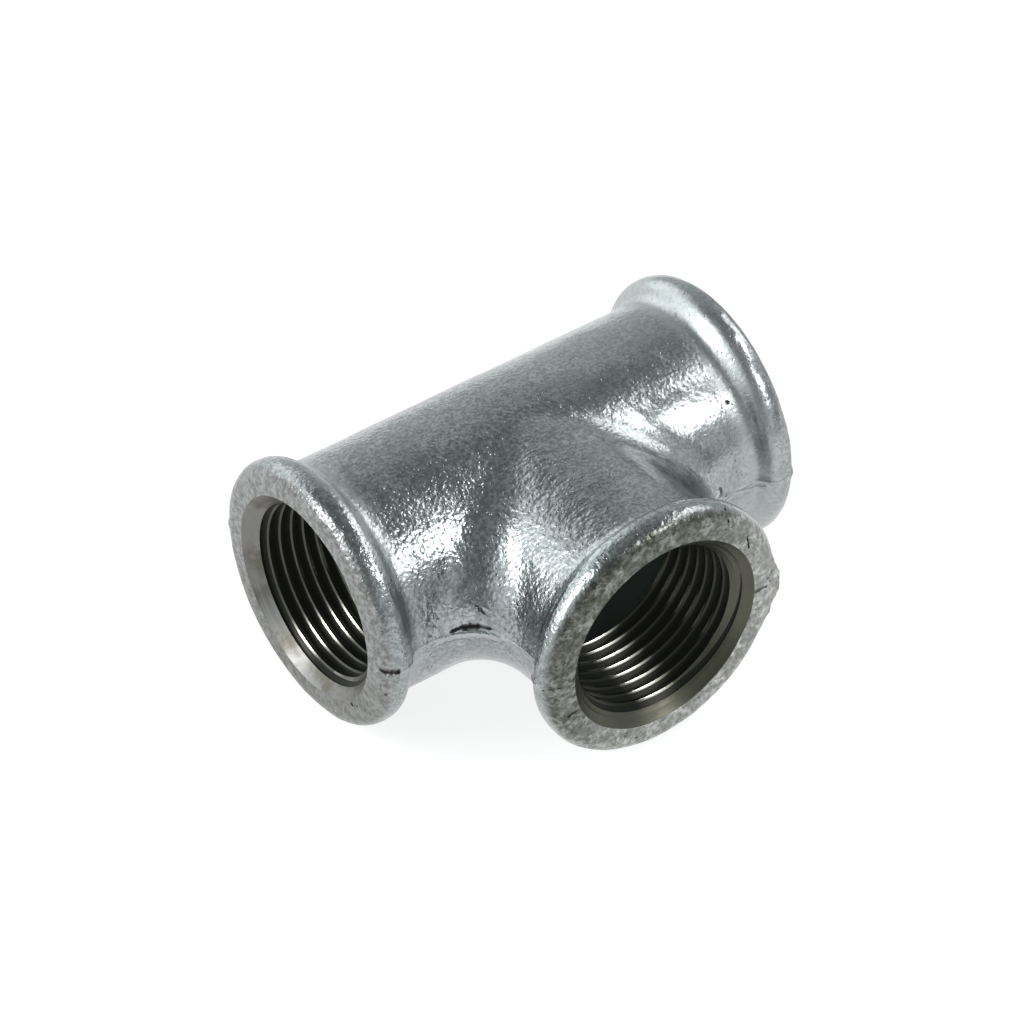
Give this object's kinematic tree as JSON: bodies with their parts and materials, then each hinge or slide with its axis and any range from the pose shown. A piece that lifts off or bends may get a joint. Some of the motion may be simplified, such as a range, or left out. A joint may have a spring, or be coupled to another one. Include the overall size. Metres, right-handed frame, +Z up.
{
  "type": "pipe tee",
  "caption": "Equal tee with three female threaded ports, a rolled bead at each mouth and a cored waterway, cast in iron and hot-dip galvanized.",
  "frame": {"origin": "middle of the tee's footprint, in the plane that its three beads rest on; the axes of run and branch cross 18.6 mm above it and 7.2 mm towards +Y", "axes": "+X along the run to the right port, -Y along the branch out of its port, +Z up, across the plane of the axes"},
  "size_m": [0.066, 0.0518, 0.0372],
  "materials": {
    "zinc_coated_iron": "hot-dip galvanized casting, uneven satin to bright zinc, bare oiled metal at the chamfers and threads"
  },
  "bodies": {
    "root": {"tee_body": "zinc_coated_iron"}
  },
  "joints": []
}
